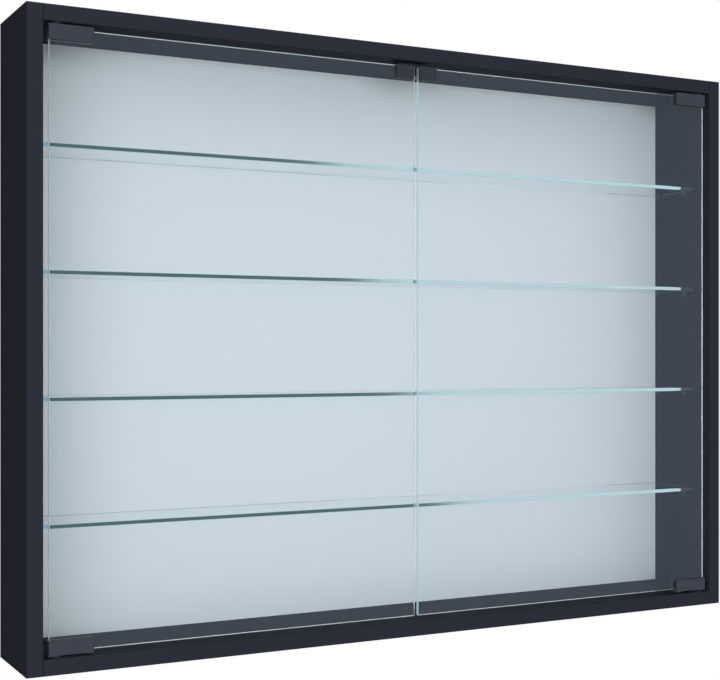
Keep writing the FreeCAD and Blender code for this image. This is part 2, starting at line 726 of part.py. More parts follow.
def touch_latch():
    """Two sprung magnetic plungers in one housing under the top panel, one behind each strike clip."""
    housing = new_body("housing")
    block = pad(housing, "block", "XY", "latch_under",
                [rectangle("-latch_width / 2", "latch_front", "latch_width / 2", "latch_rear")],
                "latch_height")
    under = value("latch_under")
    dress(housing, "Chamfer", "lower_edges", block, lambda point, edge: abs(point.z - under) < 0.001,
          "latch_bevel")
    pocket(housing, "plunger_bores", "XZ", "-latch_front",
           [circle(x, "plunger_z", "plunger_radius + plunger_play") for x in ("-plunger_x", "plunger_x")],
           "plunger_bore_depth")
    screws = [("0", f"latch_screw_y + {k} * latch_screw_spacing / 2") for k in (-1, 1)]
    pocket(housing, "screw_heads", "XY", "latch_under",
           [circle(x, y, "latch_screw_head_radius + seat_play") for x, y in screws],
           "latch_screw_head_height", flip=True)
    pocket(housing, "screw_holes", "XY", "inner_z",
           [circle(x, y, "latch_screw_radius + seat_play") for x, y in screws], "latch_height")
    keep(housing, "latch_housing")

    pieces = []
    for k, (x, y) in enumerate(screws):
        screw = new_body(f"latch_screw_{k}")
        pad(screw, "head", "XY", "latch_under", [circle(x, y, "latch_screw_head_radius")],
            "latch_screw_head_height")
        pad(screw, "shank", "XY", "latch_under", [circle(x, y, "latch_screw_radius")],
            "latch_height + latch_screw_bite")
        pieces.append(screw)
    group("latch_screws", pieces)

    plunger = new_body("plunger")
    pad(plunger, "barrel", "XZ", "-plunger_end", [circle("-plunger_x", "plunger_z", "plunger_radius")],
        "plunger_length")
    pocket(plunger, "spring_room", "XZ", "-plunger_end",
           [circle("-plunger_x", "plunger_z", "plunger_radius - plunger_wall")],
           "plunger_length - plunger_nose", flip=True)
    pocket(plunger, "magnet_seat", "XZ", "-plunger_tip",
           [circle("-plunger_x", "plunger_z", "magnet_radius + seat_play")], "magnet_thickness")
    magnet = new_body("magnet")
    pad(magnet, "disc", "XZ", "-plunger_tip", [circle("-plunger_x", "plunger_z", "magnet_radius")],
        "magnet_thickness", flip=True)
    spring = new_body("spring")
    pad(spring, "coil", "XZ", "-plunger_floor", [circle("-plunger_x", "plunger_z", "spring_radius")],
        "plunger_floor - plunger_tip - plunger_nose")
    pocket(spring, "hollow", "XZ", "-plunger_tip - plunger_nose",
           [circle("-plunger_x", "plunger_z", "spring_radius - spring_wire")],
           "plunger_floor - plunger_tip - plunger_nose")
    for name, piece in (("plunger", plunger), ("magnet", magnet), ("spring", spring)):
        keep(piece, f"left_latch_{name}")
        keep(mirror_part(piece, f"{name}_right", ACROSS), f"right_latch_{name}")


# ---------------------------------------------------------------- hangers


def hangers():
    """Keyhole plates let into the rear edges of the sides, each held by two countersunk screws."""
    plate = new_body("hanger")
    blank = pad(plate, "blank", "XZ", "0",
                [rectangle("-hanger_x - hanger_width / 2", "hanger_under",
                           "-hanger_x + hanger_width / 2", "hanger_top")], "hanger_thickness")
    middle = value("-hanger_thickness / 2")
    dress(plate, "Fillet", "corners", blank, lambda point, edge: abs(point.y - middle) < 0.001,
          "hanger_round")
    pocket(plate, "keyhole", "XZ", "0", [circle("-hanger_x", "keyhole_z", "keyhole_radius")],
           "hanger_thickness", flip=True)
    pocket(plate, "slot", "XZ", "0",
           [rectangle("-hanger_x - keyhole_slot_radius", "keyhole_z",
                      "-hanger_x + keyhole_slot_radius", "keyhole_z + keyhole_travel")],
           "hanger_thickness", flip=True)
    pocket(plate, "slot_end", "XZ", "0",
           [circle("-hanger_x", "keyhole_z + keyhole_travel", "keyhole_slot_radius")],
           "hanger_thickness", flip=True)
    screws = []
    for k, z in enumerate(("hanger_under + hanger_screw_inset", "hanger_top - hanger_screw_inset")):
        sink = pocket(plate, f"screw_hole_{k}", "XZ", "0",
                      [circle("-hanger_x", z, "hanger_screw_radius + seat_play")],
                      "hanger_thickness", flip=True)
        mouth = edges_where(sink.Shape, lambda point, edge: abs(point.y) < 0.001
                            and abs(point.z - value(z)) < 0.001 and edge.isClosed())
        cone = plate.newObject("PartDesign::Chamfer", f"hanger_countersink_{k}")
        cone.Base = (sink, mouth)
        cone.setExpression("Size", bind("hanger_screw_head_radius - hanger_screw_radius"))
        doc.recompute()
        screw = new_body(f"hanger_screw_{k}")
        depth = "hanger_screw_head_radius - hanger_screw_radius"
        revolve(screw, "turned", "XY", z,
                polygon(("-hanger_x", "0"), ("-hanger_x + hanger_screw_head_radius", "0"),
                        ("-hanger_x + hanger_screw_radius", f"-({depth})"),
                        ("-hanger_x + hanger_screw_radius", "-hanger_screw_length"),
                        ("-hanger_x", "-hanger_screw_length")), "Edge5")
        screws.append(screw)
    keep(plate, "left_hanger")
    keep(mirror_part(plate, "hanger_right", ACROSS), "right_hanger")
    group("hanger_screws", screws + [mirror_part(s, f"{s.Name}_right", ACROSS) for s in screws])


# ---------------------------------------------------------------- build, test and write

side_panels()
decks()
back()
knock_down_fittings()
shelves()
doors()
touch_latch()
hangers()
doc.recompute()

for item in doc.Objects:
    if "Invalid" in item.State or "Error" in item.State:
        raise RuntimeError(f"{item.Name} did not build: {item.State}")
os.makedirs("parts", exist_ok=True)
for part in parts:
    if part.Shape.isNull() or not part.Shape.isValid() or not part.Shape.Solids:
        raise RuntimeError(f"{part.Label} has no valid solid")
    part.Shape.exportStep(f"parts/{part.Label}.step")
print(f"{len(parts)} sub-parts written")
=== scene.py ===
"""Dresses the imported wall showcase: boards, glass, fittings, a plain studio and the camera.

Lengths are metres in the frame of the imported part: the origin lies at the centre of the rear
face, +X is to the right seen from the front, +Y goes towards the wall and +Z up.
"""

from __future__ import annotations

import json
import logging
import math
from dataclasses import dataclass
from enum import Enum
from typing import Callable, Sequence

import bmesh
import bpy
from mathutils import Matrix, Vector

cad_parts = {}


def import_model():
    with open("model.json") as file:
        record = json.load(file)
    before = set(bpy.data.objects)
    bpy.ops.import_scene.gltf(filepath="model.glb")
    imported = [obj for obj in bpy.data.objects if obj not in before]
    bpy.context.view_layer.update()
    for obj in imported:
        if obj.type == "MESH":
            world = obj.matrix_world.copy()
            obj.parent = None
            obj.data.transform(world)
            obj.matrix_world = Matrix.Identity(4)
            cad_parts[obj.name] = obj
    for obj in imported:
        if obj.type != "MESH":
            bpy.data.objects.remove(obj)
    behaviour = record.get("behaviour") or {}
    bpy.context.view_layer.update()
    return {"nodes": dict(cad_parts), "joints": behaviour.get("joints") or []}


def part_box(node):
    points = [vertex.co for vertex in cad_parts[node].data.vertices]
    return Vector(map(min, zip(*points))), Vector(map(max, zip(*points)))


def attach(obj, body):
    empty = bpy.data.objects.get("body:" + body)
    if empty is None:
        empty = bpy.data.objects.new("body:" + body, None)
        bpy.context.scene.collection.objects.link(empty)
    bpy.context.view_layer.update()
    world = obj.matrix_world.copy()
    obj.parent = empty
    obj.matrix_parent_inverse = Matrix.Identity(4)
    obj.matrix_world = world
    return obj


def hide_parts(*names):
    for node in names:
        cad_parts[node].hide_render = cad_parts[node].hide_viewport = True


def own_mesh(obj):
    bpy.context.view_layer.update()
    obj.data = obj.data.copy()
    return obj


LOG = logging.getLogger("showcase")
MM = 0.001
SAME_PLACE = 0.000001
SHARP_ANGLE = 0.5
Colour = tuple[float, float, float]


def tone(red: int, green: int, blue: int) -> Colour:
    """Turns a display colour into the linear one that shaders use.

    Args:
        red: Display red, 0 to 255.
        green: Display green, 0 to 255.
        blue: Display blue, 0 to 255.

    Returns:
        The linear red, green and blue.
    """

    def linear(part: int) -> float:
        """One display value made linear."""
        share = part / 255
        return share / 12.92 if share <= 0.04045 else ((share + 0.055) / 1.055) ** 2.4

    return linear(red), linear(green), linear(blue)


# ---------------------------------------------------------------- shader maths


class Value:
    """A number that varies over a surface, written with ordinary operators."""

    def __init__(self, graph: Graph, socket: bpy.types.NodeSocket) -> None:
        """Keeps the graph and the output socket that carries the number."""
        self.graph = graph
        self.socket = socket

    def _join(self, operation: str, first: object, second: object) -> Value:
        """Adds one Math node for two operands."""
        return self.graph.node("ShaderNodeMath", {"operation": operation}, {0: first, 1: second})

    def __add__(self, other: object) -> Value:
        """Sum."""
        return self._join("ADD", self, other)

    __radd__ = __add__

    def __mul__(self, other: object) -> Value:
        """Product."""
        return self._join("MULTIPLY", self, other)

    __rmul__ = __mul__

    def __sub__(self, other: object) -> Value:
        """Difference."""
        return self._join("SUBTRACT", self, other)

    def __rsub__(self, other: object) -> Value:
        """Difference from a plain number."""
        return self._join("SUBTRACT", other, self)

    def __gt__(self, other: object) -> Value:
        """One where this is greater, otherwise zero."""
        return self._join("GREATER_THAN", self, other)

    def __lt__(self, other: object) -> Value:
        """One where this is less, otherwise zero."""
        return self._join("LESS_THAN", self, other)

    def either(self, other: Value) -> Value:
        """The greater of two numbers, which joins two masks."""
        return self._join("MAXIMUM", self, other)


class Graph:
    """The node tree of one material or of the world."""

    def __init__(self, owner: bpy.types.Material | bpy.types.World) -> None:
        """Empties the owner's node tree and keeps it.

        Args:
            owner: The material or the world.
        """
        owner.use_nodes = True
        self.tree = owner.node_tree
        self.tree.nodes.clear()

    def node(
        self,
        kind: str,
        settings: dict[str, object] | None = None,
        sockets: dict[object, object] | None = None,
        output: object = 0,
    ) -> Value:
        """Adds a node.

        Args:
            kind: The node's type.
            settings: Its properties, such as a Math node's operation.
            sockets: Values or links for its inputs, by name or number.
            output: The name or number of the output that is wanted.

        Returns:
            That output.
        """
        made = self.tree.nodes.new(kind)
        for name, setting in (settings or {}).items():
            setattr(made, name, setting)
        for name, given in (sockets or {}).items():
            target = made.inputs[name]
            if isinstance(given, Value):
                self.tree.links.new(given.socket, target)
            else:
                wants_alpha = target.type == "RGBA" and isinstance(given, tuple) and len(given) == 3
                target.default_value = (*given, 1.0) if wants_alpha else given
        return Value(self, made.outputs[output] if made.outputs else None)

    def position(self) -> Value:
        """The point on the piece, in metres in the part's frame."""
        return self.node("ShaderNodeTexCoord", output="Object")

    def along(self, vector: Value, axis: str) -> Value:
        """One component of a vector."""
        return self.node("ShaderNodeSeparateXYZ", sockets={0: vector}, output=axis)

    def stretched(self, scale: Colour) -> Value:
        """The point on the piece with each axis scaled."""
        return self.node("ShaderNodeMapping", sockets={"Vector": self.position(), "Scale": scale})

    def noise(self, scale: float, detail: float = 2.0, vector: Value | None = None) -> Value:
        """Soft noise from zero to one.

        Args:
            scale: How many blots there are to a metre.
            detail: How many finer layers are added.
            vector: The coordinates, or the point on the piece.

        Returns:
            The noise.
        """
        return self.node(
            "ShaderNodeTexNoise",
            sockets={"Vector": vector or self.position(), "Scale": scale, "Detail": detail},
        )

    def mix(self, factor: object, first: object, second: object) -> Value:
        """A colour between two others."""
        return self.node(
            "ShaderNodeMix",
            {"data_type": "RGBA"},
            {"Factor": factor, 6: first, 7: second},
            output=2,
        )

    def fade(self, source: Value, low: float, high: float) -> Value:
        """A soft step that is zero below low and one above high."""
        return self.node(
            "ShaderNodeMapRange",
            {"interpolation_type": "SMOOTHSTEP"},
            {"Value": source, "From Min": low, "From Max": high},
        )

    def light_path(self, output: str) -> Value:
        """What kind of ray meets the surface."""
        return self.node("ShaderNodeLightPath", output=output)

    def limits(self, source: Value, low: float, high: float) -> Value:
        """A number from zero to one carried to the span from low to high."""
        return source * (high - low) + low

    def bump(self, height: Value, depth: float, strength: float = 1.0) -> Value:
        """A normal bent by a height from zero to one, depth metres deep."""
        sockets = {"Height": height, "Distance": depth, "Strength": strength}
        return self.node("ShaderNodeBump", sockets=sockets)

    def surface(self, shader: Value) -> None:
        """Ends a material's tree with this shader."""
        self.node("ShaderNodeOutputMaterial", sockets={"Surface": shader})

    def principled(self, sockets: dict[object, object]) -> Value:
        """A Principled shader with these inputs."""
        return self.node("ShaderNodeBsdfPrincipled", sockets=sockets)

    def lamplit(self, shader: Value, tint: Colour) -> Value:
        """A glass shader that casts a tinted light in place of a shadow.

        Args:
            shader: What the eye sees.
            tint: The colour that one face gives to the light of the lamps.

        Returns:
            The shader for both.
        """
        clear = self.node("ShaderNodeBsdfTransparent", sockets={"Color": tint})
        lamp_ray = self.light_path("Is Shadow Ray").either(self.light_path("Is Diffuse Ray"))
        return self.node("ShaderNodeMixShader", sockets={0: lamp_ray, 1: shader, 2: clear})


# ---------------------------------------------------------------- finishes


@dataclass(frozen=True)
class Finish:
    """What every finish has: a name, its main colour and how rough it is."""

    name: str
    colour: Colour
    roughness: float

    def material(self) -> bpy.types.Material:
        """Gives the finish's material, which is made on first use.

        Returns:
            The material.
        """
        title = f"{self.name}_finish"
        found = bpy.data.materials.get(title)
        if found is None:
            found = bpy.data.materials.new(title)
            self.build(Graph(found))
        return found

    def build(self, graph: Graph) -> None:
        """Writes the finish into an empty node tree."""
        raise NotImplementedError

    def shaded(self, share: float) -> Colour:
        """The main colour made lighter or darker by a share."""
        return tuple(part * share for part in self.colour)

    def rough(self, graph: Graph, pattern: Value, less: float, more: float) -> Value:
        """The roughness made to follow a pattern."""
        return graph.limits(pattern, self.roughness - less, self.roughness + more)


@dataclass(frozen=True)
class Melamine(Finish):
    """Chipboard faced with a matt melamine paper and closed by a thin edge band."""

    chip: Colour
    raw_from: float
    band_joint: float
    glue_line: float = 0.00014
    pearl: float = 1100.0
    flake: float = 420.0
    sheen: float = 0.01
    relief: float = 0.00001

    def build(self, graph: Graph) -> None:
        """Writes the pearled face, the band's glue line and the raw rear edge."""
        pearl = graph.noise(self.pearl, 3.0)
        cloud = graph.noise(7.0, 2.0)
        face = graph.mix(cloud, self.shaded(0.93), self.shaded(1.07))
        face = graph.mix(pearl * 0.35, face, self.shaded(1.35))
        depth = graph.along(graph.position(), "Y")
        off_joint = graph.node(
            "ShaderNodeMath", {"operation": "ABSOLUTE"}, {0: depth - self.band_joint}
        )
        joint = off_joint < self.glue_line / 2
        face = graph.mix(joint * 0.5, face, self.shaded(0.4))
        flake = graph.node(
            "ShaderNodeTexVoronoi",
            {"feature": "F1"},
            {"Vector": graph.stretched((1.0, 1.0, 2.2)), "Scale": self.flake},
        )
        dust = graph.noise(1900.0, 2.0)
        chip = graph.mix(flake, tuple(part * 0.45 for part in self.chip), self.chip)
        chip = graph.mix(dust * 0.5, chip, tuple(part * 1.25 for part in self.chip))
        raw = depth > self.raw_from
        rough = self.rough(graph, pearl, 0.05, 0.06)
        height = pearl * 0.5 + raw * dust * 2.0
        graph.surface(
            graph.principled(
                {
                    "Base Color": graph.mix(raw, face, chip),
                    "Roughness": rough + raw * 0.4,
                    "Specular IOR Level": self.sheen,
                    "Normal": graph.bump(height, self.relief),
                }
            )
        )


@dataclass(frozen=True)
class Hardboard(Finish):
    """Thin fibreboard with a lacquered face and a raw brown back."""

    fibre: Colour
    raw_from: float
    skin: float = 420.0
    sheen: float = 0.35
    relief: float = 0.00004

    def build(self, graph: Graph) -> None:
        """Writes the lacquer's soft skin and the felted fibres behind."""
        skin = graph.noise(self.skin, 2.0)
        cloud = graph.noise(4.0, 1.0)
        face = graph.mix(cloud, self.shaded(0.985), self.shaded(1.01))
        felt = graph.noise(900.0, 4.0, graph.stretched((1.0, 1.0, 0.35)))
        blot = graph.noise(35.0, 3.0)
        fibre = graph.mix(felt, tuple(part * 0.6 for part in self.fibre), self.fibre)
        fibre = graph.mix(blot * 0.4, fibre, tuple(part * 1.3 for part in self.fibre))
        raw = graph.along(graph.position(), "Y") > self.raw_from
        rough = self.rough(graph, skin, 0.04, 0.04)
        graph.surface(
            graph.principled(
                {
                    "Base Color": graph.mix(raw, face, fibre),
                    "Roughness": rough + raw * 0.35,
                    "Specular IOR Level": self.sheen,
                    "Normal": graph.bump(skin * 0.1 + raw * felt, self.relief),
                }
            )
        )


@dataclass(frozen=True)
class PowderCoat(Finish):
    """Baked powder on metal, with its fine orange peel."""

    peel: float = 1500.0
    relief: float = 0.00003

    def build(self, graph: Graph) -> None:
        """Writes the peel and a slight cloud in the colour."""
        peel = graph.noise(self.peel, 2.0)
        cloud = graph.noise(60.0, 2.0)
        graph.surface(
            graph.principled(
                {
                    "Base Color": graph.mix(cloud, self.shaded(0.92), self.shaded(1.08)),
                    "Roughness": self.rough(graph, peel, 0.06, 0.06),
                    "Normal": graph.bump(peel, self.relief),
                }
            )
        )


@dataclass(frozen=True)
class BareMetal(Finish):
    """Bare or plated metal, with fine marks drawn along one axis."""

    drawn: Colour = (1.0, 1.0, 0.08)
    marks: float = 2600.0
    relief: float = 0.000012

    def build(self, graph: Graph) -> None:
        """Writes the drawn marks, the plating's bloom and its dull spots."""
        mark = graph.noise(self.marks, 3.0, graph.stretched(self.drawn))
        bloom = graph.noise(140.0, 3.0)
        colour = graph.mix(bloom, self.shaded(0.86), self.shaded(1.04))
        rough = self.rough(graph, mark, 0.08, 0.08)
        graph.surface(
            graph.principled(
                {
                    "Base Color": colour,
                    "Metallic": 1.0,
                    "Roughness": rough + bloom * 0.06,
                    "Normal": graph.bump(mark, self.relief),
                }
            )
        )


@dataclass(frozen=True)
class MouldedPlastic(Finish):
    """Moulded plastic with the fine spark pattern of its mould."""

    spark: float = 2400.0
    relief: float = 0.000018

    def build(self, graph: Graph) -> None:
        """Writes the spark pattern and a faint flow in the colour."""
        spark = graph.noise(self.spark, 2.0)
        flow = graph.noise(50.0, 2.0)
        graph.surface(
            graph.principled(
                {
                    "Base Color": graph.mix(flow, self.shaded(0.93), self.shaded(1.07)),
                    "Roughness": self.rough(graph, spark, 0.07, 0.05),
                    "Normal": graph.bump(spark, self.relief),
                }
            )
        )


@dataclass(frozen=True)
class TurnedBeech(Finish):
    """Beech dowel, with its grain and short flecks along the rod."""

    along: Colour = (0.07, 1.0, 1.0)
    relief: float = 0.00006

    def build(self, graph: Graph) -> None:
        """Writes the grain and the flecks."""
        grain = graph.noise(900.0, 3.0, graph.stretched(self.along))
        fleck = graph.noise(2600.0, 1.0, graph.stretched(self.along)) > 0.62
        colour = graph.mix(grain, self.shaded(0.72), self.shaded(1.12))
        graph.surface(
            graph.principled(
                {
                    "Base Color": graph.mix(fleck * 0.5, colour, self.shaded(0.45)),
                    "Roughness": self.rough(graph, grain, 0.05, 0.05),
                    "Normal": graph.bump(grain, self.relief),
                }
            )
        )


@dataclass(frozen=True)
class ClearGlass(Finish):
    """Smooth glass or clear plastic that lets the lamps through to what it covers."""

    index: float = 1.5

    def build(self, graph: Graph) -> None:
        """Writes the glass, and a clear way through it for the light of the lamps."""
        glass = graph.principled(
            {
                "Base Color": self.colour,
                "Transmission Weight": 1.0,
                "Roughness": self.roughness,
                "IOR": self.index,
            }
        )
        graph.surface(graph.lamplit(glass, tuple(part**0.5 for part in self.colour)))


@dataclass(frozen=True)
class GlassEdge(Finish):
    """The ground and polished edge of a glass sheet, which gathers the glass's own green."""

    shine: float = 0.0
    clear: float = 0.0
    cloudy: float = 0.008
    ground: Colour = (0.05, 1.0, 1.0)
    cast: Colour = (0.9, 0.95, 0.94)
    relief: float = 0.000004

    def build(self, graph: Graph) -> None:
        """Writes the green depth and the fine lines that the grinding wheel leaves."""
        wheel = graph.noise(3200.0, 2.0, graph.stretched(self.ground))
        depth = graph.noise(24.0, 2.0)
        colour = graph.mix(depth, self.shaded(0.93), self.shaded(1.07))
        edge = graph.principled(
            {
                "Base Color": colour,
                "Metallic": self.shine,
                "Transmission Weight": self.clear,
                "Subsurface Weight": 1.0 - self.shine,
                "Subsurface Radius": (1.0, 1.0, 1.0),
                "Subsurface Scale": self.cloudy,
                "Roughness": self.rough(graph, wheel, 0.02, 0.02),
                "Normal": graph.bump(wheel, self.relief),
            }
        )
        graph.surface(graph.lamplit(edge, self.cast))


class Finishes:
    """Every finish of the showcase, one for each of the record's material slots."""

    BOARD = Melamine(
        "anthracite_board",
        tone(42, 45, 54),
        0.58,
        chip=tone(176, 140, 98),
        raw_from=-0.00015,
        band_joint=-0.0992,
    )
    BACK = Hardboard(
        "white_back_board",
        tone(222, 230, 238),
        0.5,
        fibre=tone(120, 84, 54),
        raw_from=-0.00015,
    )
    NAIL = BareMetal("nail_steel", tone(150, 152, 156), 0.36)
    DOWEL = TurnedBeech("dowel_beech", tone(196, 160, 112), 0.6)
    CAM = BareMetal("fitting_zinc", tone(184, 187, 192), 0.34)
    SHELF = ClearGlass("shelf_glass", (0.95, 0.985, 0.978), 0.0)
    SHELF_EDGE = GlassEdge("shelf_glass_edge", tone(186, 214, 220), 0.08, shine=0.92)
    DOOR = ClearGlass("door_glass", (0.935, 0.96, 0.958), 0.0)
    DOOR_EDGE = GlassEdge("door_glass_edge", tone(208, 243, 237), 0.04, clear=0.58)
    SUPPORT = ClearGlass("clear_plastic", (0.97, 0.98, 0.98), 0.04, index=1.49)
    BUSH = MouldedPlastic("bush_nylon", tone(36, 37, 41), 0.42)
    HINGE = PowderCoat("hinge_coating", tone(50, 54, 65), 0.42)
    PAD = ClearGlass("clear_pad", (0.94, 0.95, 0.95), 0.09, index=1.46)
    PLATE = BareMetal("plate_steel", tone(168, 170, 174), 0.38)
    SCREW = BareMetal("screw_steel", tone(120, 122, 128), 0.33)
    PIN = BareMetal("pin_steel", tone(190, 192, 196), 0.24)
    CLIP = PowderCoat("clip_coating", tone(38, 42, 51), 0.4)
    LATCH = MouldedPlastic("latch_plastic", tone(38, 39, 43), 0.48)
    PLUNGER = MouldedPlastic("plunger_plastic", tone(34, 35, 39), 0.36)
    MAGNET = BareMetal("magnet_nickel", tone(206, 206, 204), 0.18)
    SPRING = BareMetal("spring_steel", tone(162, 164, 168), 0.28)
    HANGER = BareMetal("hanger_steel", tone(186, 190, 196), 0.32)


# ---------------------------------------------------------------- mesh work


class Workpiece:
    """A mesh under construction, in metres in the part's frame."""

    def __init__(self, name: str) -> None:
        """Starts an empty mesh that will carry this name."""
        self.name = name
        self.mesh = bmesh.new()

    def block(self, low: Vector, high: Vector) -> list[bmesh.types.BMVert]:
        """Adds a plain block.

        Args:
            low: Its lowest corner.
            high: Its highest corner.

        Returns:
            The block's eight corners.
        """
        size = high - low
        place = Matrix.Translation((low + high) / 2) @ Matrix.Diagonal((*size, 1.0))
        return bmesh.ops.create_cube(self.mesh, size=1.0, matrix=place)["verts"]

    def soften(self, offset: float, segments: int = 2) -> None:
        """Rounds every sharp edge.

        Args:
            offset: How far the rounding reaches from the edge, in metres.
            segments: How many flats it has.
        """
        sharp = [e for e in self.mesh.edges if e.calc_face_angle(0.0) > SHARP_ANGLE]
        bmesh.ops.bevel(
            self.mesh,
            geom=sharp,
            offset=offset,
            offset_type="OFFSET",
            segments=segments,
            profile=0.5,
            affect="EDGES",
            material=-1,
            clamp_overlap=True,
        )

    def ring(self, centre: Vector, radius: float, sides: int, axis: Vector) -> list:
        """Adds a filled circle.

        Args:
            centre: Its middle.
            radius: Its radius, in metres.
            sides: How many sides stand for the round.
            axis: The way in which it faces.

        Returns:
            Its corners.
        """
        turn = axis.to_track_quat("Z", "Y").to_matrix().to_4x4()
        return bmesh.ops.create_circle(
            self.mesh,
            cap_ends=True,
            segments=sides,
            radius=radius,
            matrix=Matrix.Translation(centre) @ turn,
        )["verts"]

    def turned(
        self, profile: Sequence[tuple[float, float]], seat: Vector, axis: Vector, steps: int = 32
    ) -> None:
        """Turns a form round an axis, as on a lathe.

        Args:
            profile: Radius and height of each point, in metres, from one end to the other.
            seat: Where height zero lies.
            axis: The way in which height grows.
            steps: How many flats stand for the round.
        """
        out = axis.orthogonal().normalized()
        points = [self.mesh.verts.new(seat + out * r + axis * h) for r, h in profile]
        edges = [self.mesh.edges.new(pair) for pair in zip(points, points[1:])]
        bmesh.ops.spin(
            self.mesh,
            geom=points + edges,
            cent=seat,
            axis=axis,
            angle=math.tau,
            steps=steps,
            use_merge=True,
        )

    def loop(self, corners: Sequence[Vector]) -> list[bmesh.types.BMEdge]:
        """Adds a closed ring of edges through some corners."""
        points = [self.mesh.verts.new(corner) for corner in corners]
        return [self.mesh.edges.new(pair) for pair in zip(points, points[1:] + points[:1])]

    def weld(self) -> None:
        """Joins corners that lie in one place."""
        bmesh.ops.remove_doubles(self.mesh, verts=self.mesh.verts, dist=SAME_PLACE)

    def paint(self, chosen: Callable[[bmesh.types.BMFace], bool], index: int) -> None:
        """Gives a material number to some faces.

        Args:
            chosen: Says of a face whether it takes the number.
            index: The material number.
        """
        self.mesh.normal_update()
        for face in self.mesh.faces:
            if chosen(face):
                face.material_index = index

    def close(
        self, finishes: Sequence[Finish], body: str, slot: str, replaces: str | None, smooth: bool
    ) -> bpy.types.Object:
        """Turns the mesh into a piece.

        Args:
            finishes: Its finishes, by material number.
            body: The body that it moves with.
            slot: The record's material slot, which is not used.
            replaces: The CAD node that it stands for.
            smooth: Whether its faces are shaded as one curve.

        Returns:
            The piece.
        """
        bmesh.ops.recalc_face_normals(self.mesh, faces=self.mesh.faces)
        for face in self.mesh.faces:
            face.smooth = smooth
        data = bpy.data.meshes.new(self.name)
        self.mesh.to_mesh(data)
        self.mesh.free()
        for finish in finishes:
            data.materials.append(finish.material())
        piece = bpy.data.objects.new(self.name, data)
        bpy.context.scene.collection.objects.link(piece)
        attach(piece, body)
        if replaces:
            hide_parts(replaces)
        return piece


class Hand(Enum):
    """The two hands of the showcase."""

    LEFT = "left"
    RIGHT = "right"


class Level(Enum):
    """The two ends of a door."""

    TOP = "top"
    BOTTOM = "bottom"


class Assembly:
    """A sub-assembly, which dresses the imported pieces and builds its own."""

    def __init__(self, nodes: dict[str, bpy.types.Object]) -> None:
        """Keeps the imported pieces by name."""
        self.nodes = nodes

    def dress(self, finish: Finish, *names: str) -> None:
        """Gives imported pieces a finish.

        Args:
            finish: The finish.
            names: The pieces' names.
        """
        for name in names:
            piece = self.nodes[name]
            for slot in piece.material_slots:
                slot.material = finish.material()
            LOG.info("%s: %s", name, finish.name)


def glass_sheet(
    name: str, node: str, body: str, face: Finish, edge: Finish, slot: str, arris: float
) -> bpy.types.Object:
    """Builds a glass sheet with ground edges in place of a packed one.

    Args:
        name: The new piece's name.
        node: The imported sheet, which gives its corners.
        body: The body that it moves with.
        face: The finish of its two faces.
        edge: The finish of its edges.
        slot: The record's material slot.
        arris: How much is ground off each corner, in metres.

    Returns:
        The sheet.
    """
    low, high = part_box(node)
    size = high - low
    thin = min(range(3), key=lambda axis: size[axis])
    sheet = Workpiece(name)
    sheet.block(low, high)
    sheet.soften(arris)
    sheet.paint(lambda part: abs(part.normal[thin]) < 0.99 and part.normal.y < 0.9, 1)
    LOG.info("%s: glass %.0f x %.0f mm", name, *sorted(part / MM for part in size)[1:])
    return sheet.close([face, edge], body, slot, node, False)


